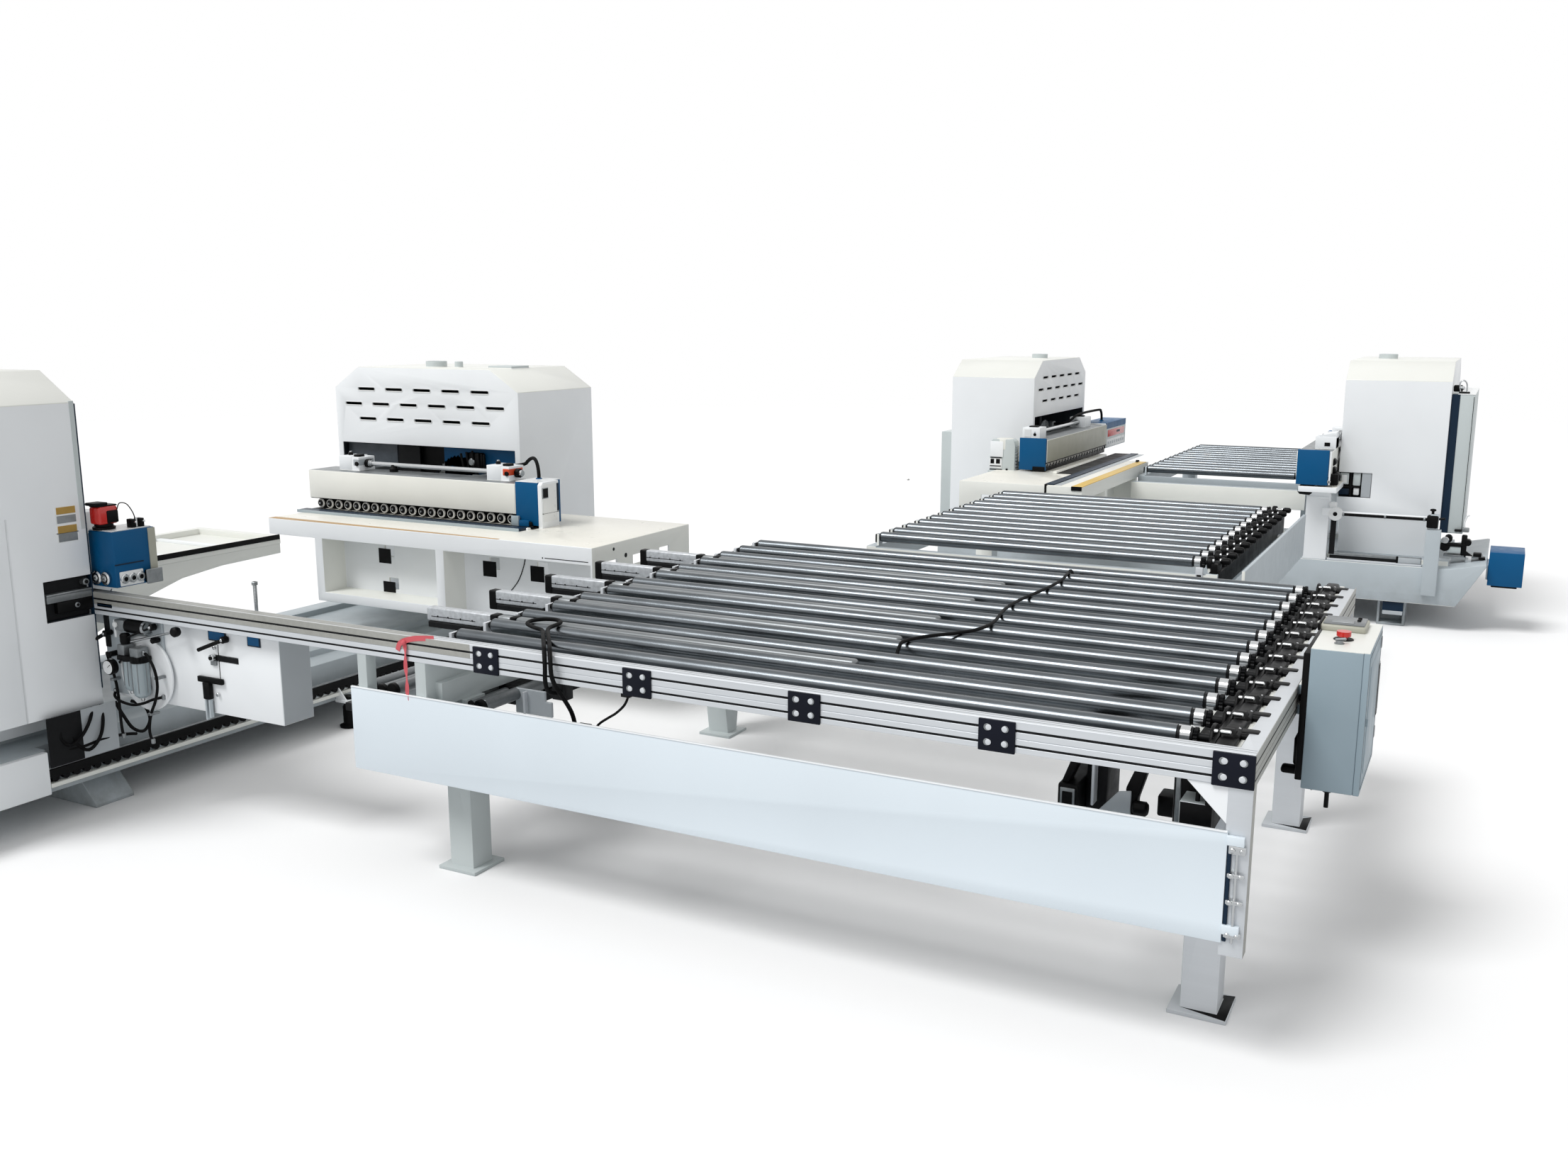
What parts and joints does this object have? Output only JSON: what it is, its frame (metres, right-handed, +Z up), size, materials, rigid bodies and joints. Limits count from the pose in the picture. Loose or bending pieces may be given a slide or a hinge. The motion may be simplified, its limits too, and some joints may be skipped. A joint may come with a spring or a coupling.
{
  "type": "double end saw",
  "caption": "Panel line of double end saws set at right angles and joined by powered roller tables, with pressure beams, sliding heads and a control box.",
  "frame": {"origin": "bottom centre of the whole line's bounding box, on the floor", "axes": "+X along the feed of the first saw, +Y along the feed of the second saw and the line's length, +Z up"},
  "size_m": [6.212, 9.03, 1.7],
  "materials": {
    "hood_paint": "satin powder coat",
    "base_paint": "satin powder coat",
    "cream_paint": "satin powder coat",
    "beam_paint": "satin powder coat",
    "blue_paint": "gloss",
    "box_paint": "satin powder coat",
    "wheel_rubber": "matt",
    "bright_steel": "polished",
    "blade_steel": "ground",
    "roller_steel": "turned",
    "rail_aluminium": "anodised",
    "red_plastic": "gloss",
    "black_rubber": "matt"
  },
  "bodies": {
    "line": {"base_beam_1": "base_paint", "base_beam_2": "base_paint", "infeed_frame": "cream_paint", "service_unit_a": "rail_aluminium", "cabinet_a": "hood_paint", "work_table_a": "cream_paint", "saw_motor_a": "blue_paint", "cabinet_c": "hood_paint", "work_table_c": "cream_paint", "saw_motor_c": "blue_paint", "table_frame_1": "rail_aluminium", "front_panel": "base_paint", "table_frame_2": "base_paint", "rollers_2": "roller_steel", "table_frame_3": "base_paint", "rollers_3": "roller_steel", "control_box": "box_paint", "rail_cable": "black_rubber", "deck_cable": "black_rubber", "plate_cable": "black_rubber"},
    "head_b": {"cabinet_b": "hood_paint", "work_table_b": "cream_paint", "saw_motor_b": "blue_paint"},
    "head_d": {"cabinet_d": "hood_paint", "work_table_d": "cream_paint", "saw_motor_d": "blue_paint"},
    "beam_a": {"pressure_beam_a": "beam_paint", "press_wheels_a": "wheel_rubber"},
    "shaft_a": {"lift_shaft_a": "bright_steel"},
    "blade_a": {"saw_blade_a": "blade_steel"},
    "beam_b": {"pressure_beam_b": "beam_paint", "press_wheels_b": "wheel_rubber", "beam_hose_b": "black_rubber"},
    "shaft_b": {"lift_shaft_b": "bright_steel"},
    "blade_b": {"saw_blade_b": "blade_steel"},
    "beam_c": {"pressure_beam_c": "beam_paint", "press_wheels_c": "wheel_rubber", "beam_hose_c": "black_rubber"},
    "shaft_c": {"lift_shaft_c": "bright_steel"},
    "blade_c": {"saw_blade_c": "blade_steel"},
    "beam_d": {"pressure_beam_d": "beam_paint", "press_wheels_d": "wheel_rubber"},
    "shaft_d": {"lift_shaft_d": "bright_steel"},
    "blade_d": {"saw_blade_d": "blade_steel"},
    "belt_lift": {"belt_lift": "rail_aluminium"},
    "door": {"control_door": "box_paint"},
    "button": {"stop_button": "red_plastic"},
    "roll_1": {"roller_1": "roller_steel"},
    "roll_2": {"roller_2": "roller_steel"},
    "roll_3": {"roller_3": "roller_steel"},
    "roll_4": {"roller_4": "roller_steel"},
    "roll_5": {"roller_5": "roller_steel"},
    "roll_6": {"roller_6": "roller_steel"},
    "roll_7": {"roller_7": "roller_steel"},
    "roll_8": {"roller_8": "roller_steel"},
    "roll_9": {"roller_9": "roller_steel"},
    "roll_10": {"roller_10": "roller_steel"},
    "roll_11": {"roller_11": "roller_steel"},
    "roll_12": {"roller_12": "roller_steel"},
    "roll_13": {"roller_13": "roller_steel"}
  },
  "joints": [
    {"name": "head_b_slide", "type": "slide", "parent": "line", "child": "head_b", "axis": [0, 1, 0], "range_m": [-0.25, 0.6]},
    {"name": "head_d_slide", "type": "slide", "parent": "line", "child": "head_d", "axis": [1, 0, 0], "range_m": [0, 0.1]},
    {"name": "beam_a_lift", "type": "slide", "parent": "line", "child": "beam_a", "axis": [0, 0, 1], "range_m": [0, 0.07]},
    {"name": "shaft_a_turn", "type": "hinge", "parent": "beam_a", "child": "shaft_a", "pos_m": [-2.406, -3.675, 1.119], "axis": [1, 0, 0], "range_deg": [0, 1261]},
    {"name": "blade_a_spin", "type": "hinge", "parent": "line", "child": "blade_a", "pos_m": [-2.286, -3.812, 1.01], "axis": [0, 1, 0], "continuous": true},
    {"name": "beam_b_lift", "type": "slide", "parent": "head_b", "child": "beam_b", "axis": [0, 0, 1], "range_m": [0, 0.07]},
    {"name": "shaft_b_turn", "type": "hinge", "parent": "beam_b", "child": "shaft_b", "pos_m": [-2.216, -1.575, 1.119], "axis": [1, 0, 0], "range_deg": [0, 1261]},
    {"name": "blade_b_spin", "type": "hinge", "parent": "head_b", "child": "blade_b", "pos_m": [-2.096, -1.313, 1.01], "axis": [0, 1, 0], "continuous": true},
    {"name": "beam_c_lift", "type": "slide", "parent": "line", "child": "beam_c", "axis": [0, 0, 1], "range_m": [0, 0.07]},
    {"name": "shaft_c_turn", "type": "hinge", "parent": "beam_c", "child": "shaft_c", "pos_m": [0.082, 2.825, 1.119], "axis": [0, -1, 0], "range_deg": [0, 1261]},
    {"name": "blade_c_spin", "type": "hinge", "parent": "line", "child": "blade_c", "pos_m": [-0.055, 2.705, 1.01], "axis": [1, 0, 0], "continuous": true},
    {"name": "beam_d_lift", "type": "slide", "parent": "head_d", "child": "beam_d", "axis": [0, 0, 1], "range_m": [0, 0.07]},
    {"name": "shaft_d_turn", "type": "hinge", "parent": "beam_d", "child": "shaft_d", "pos_m": [1.946, 2.825, 1.119], "axis": [0, -1, 0], "range_deg": [0, 1261]},
    {"name": "blade_d_spin", "type": "hinge", "parent": "head_d", "child": "blade_d", "pos_m": [2.083, 2.705, 1.01], "axis": [1, 0, 0], "continuous": true},
    {"name": "belt_lift_rise", "type": "slide", "parent": "line", "child": "belt_lift", "axis": [0, 0, 1], "range_m": [0, 0.025]},
    {"name": "roll_1_spin", "type": "hinge", "parent": "line", "child": "roll_1", "pos_m": [1.1, -3.609, 0.845], "axis": [1, 0, 0], "continuous": true},
    {"name": "roll_2_spin", "type": "hinge", "parent": "line", "child": "roll_2", "pos_m": [1.1, -3.434, 0.845], "axis": [1, 0, 0], "continuous": true},
    {"name": "roll_3_spin", "type": "hinge", "parent": "line", "child": "roll_3", "pos_m": [1.1, -3.259, 0.845], "axis": [1, 0, 0], "continuous": true},
    {"name": "roll_4_spin", "type": "hinge", "parent": "line", "child": "roll_4", "pos_m": [1.1, -3.084, 0.845], "axis": [1, 0, 0], "continuous": true},
    {"name": "roll_5_spin", "type": "hinge", "parent": "line", "child": "roll_5", "pos_m": [1.1, -2.909, 0.845], "axis": [1, 0, 0], "continuous": true},
    {"name": "roll_6_spin", "type": "hinge", "parent": "line", "child": "roll_6", "pos_m": [1.1, -2.734, 0.845], "axis": [1, 0, 0], "continuous": true},
    {"name": "roll_7_spin", "type": "hinge", "parent": "line", "child": "roll_7", "pos_m": [1.1, -2.559, 0.845], "axis": [1, 0, 0], "continuous": true},
    {"name": "roll_8_spin", "type": "hinge", "parent": "line", "child": "roll_8", "pos_m": [1.1, -2.384, 0.845], "axis": [1, 0, 0], "continuous": true},
    {"name": "roll_9_spin", "type": "hinge", "parent": "line", "child": "roll_9", "pos_m": [1.1, -2.209, 0.845], "axis": [1, 0, 0], "continuous": true},
    {"name": "roll_10_spin", "type": "hinge", "parent": "line", "child": "roll_10", "pos_m": [1.1, -2.034, 0.845], "axis": [1, 0, 0], "continuous": true},
    {"name": "roll_11_spin", "type": "hinge", "parent": "line", "child": "roll_11", "pos_m": [1.1, -1.859, 0.845], "axis": [1, 0, 0], "continuous": true},
    {"name": "roll_12_spin", "type": "hinge", "parent": "line", "child": "roll_12", "pos_m": [1.1, -1.684, 0.845], "axis": [1, 0, 0], "continuous": true},
    {"name": "roll_13_spin", "type": "hinge", "parent": "line", "child": "roll_13", "pos_m": [1.1, -1.509, 0.845], "axis": [1, 0, 0], "continuous": true},
    {"name": "door_swing", "type": "hinge", "parent": "line", "child": "door", "pos_m": [2.652, -2.66, 0.778], "axis": [0, 0, 1], "range_deg": [0, 110]},
    {"name": "button_press", "type": "slide", "parent": "line", "child": "button", "axis": [0, 0, -1], "range_m": [0, 0.006], "stiffness_N_per_m": 1500, "springref_m": -0.003}
  ],
  "couplings": [
    {"joint": "shaft_a_turn", "follows": "beam_a_lift", "rad_per_m": 314.16},
    {"joint": "shaft_b_turn", "follows": "beam_b_lift", "rad_per_m": 314.16},
    {"joint": "shaft_c_turn", "follows": "beam_c_lift", "rad_per_m": 314.16},
    {"joint": "shaft_d_turn", "follows": "beam_d_lift", "rad_per_m": 314.16},
    {"joint": "roll_2_spin", "follows": "roll_1_spin", "ratio": 1},
    {"joint": "roll_3_spin", "follows": "roll_1_spin", "ratio": 1},
    {"joint": "roll_4_spin", "follows": "roll_1_spin", "ratio": 1},
    {"joint": "roll_5_spin", "follows": "roll_1_spin", "ratio": 1},
    {"joint": "roll_6_spin", "follows": "roll_1_spin", "ratio": 1},
    {"joint": "roll_7_spin", "follows": "roll_1_spin", "ratio": 1},
    {"joint": "roll_8_spin", "follows": "roll_1_spin", "ratio": 1},
    {"joint": "roll_9_spin", "follows": "roll_1_spin", "ratio": 1},
    {"joint": "roll_10_spin", "follows": "roll_1_spin", "ratio": 1},
    {"joint": "roll_11_spin", "follows": "roll_1_spin", "ratio": 1},
    {"joint": "roll_12_spin", "follows": "roll_1_spin", "ratio": 1},
    {"joint": "roll_13_spin", "follows": "roll_1_spin", "ratio": 1}
  ]
}
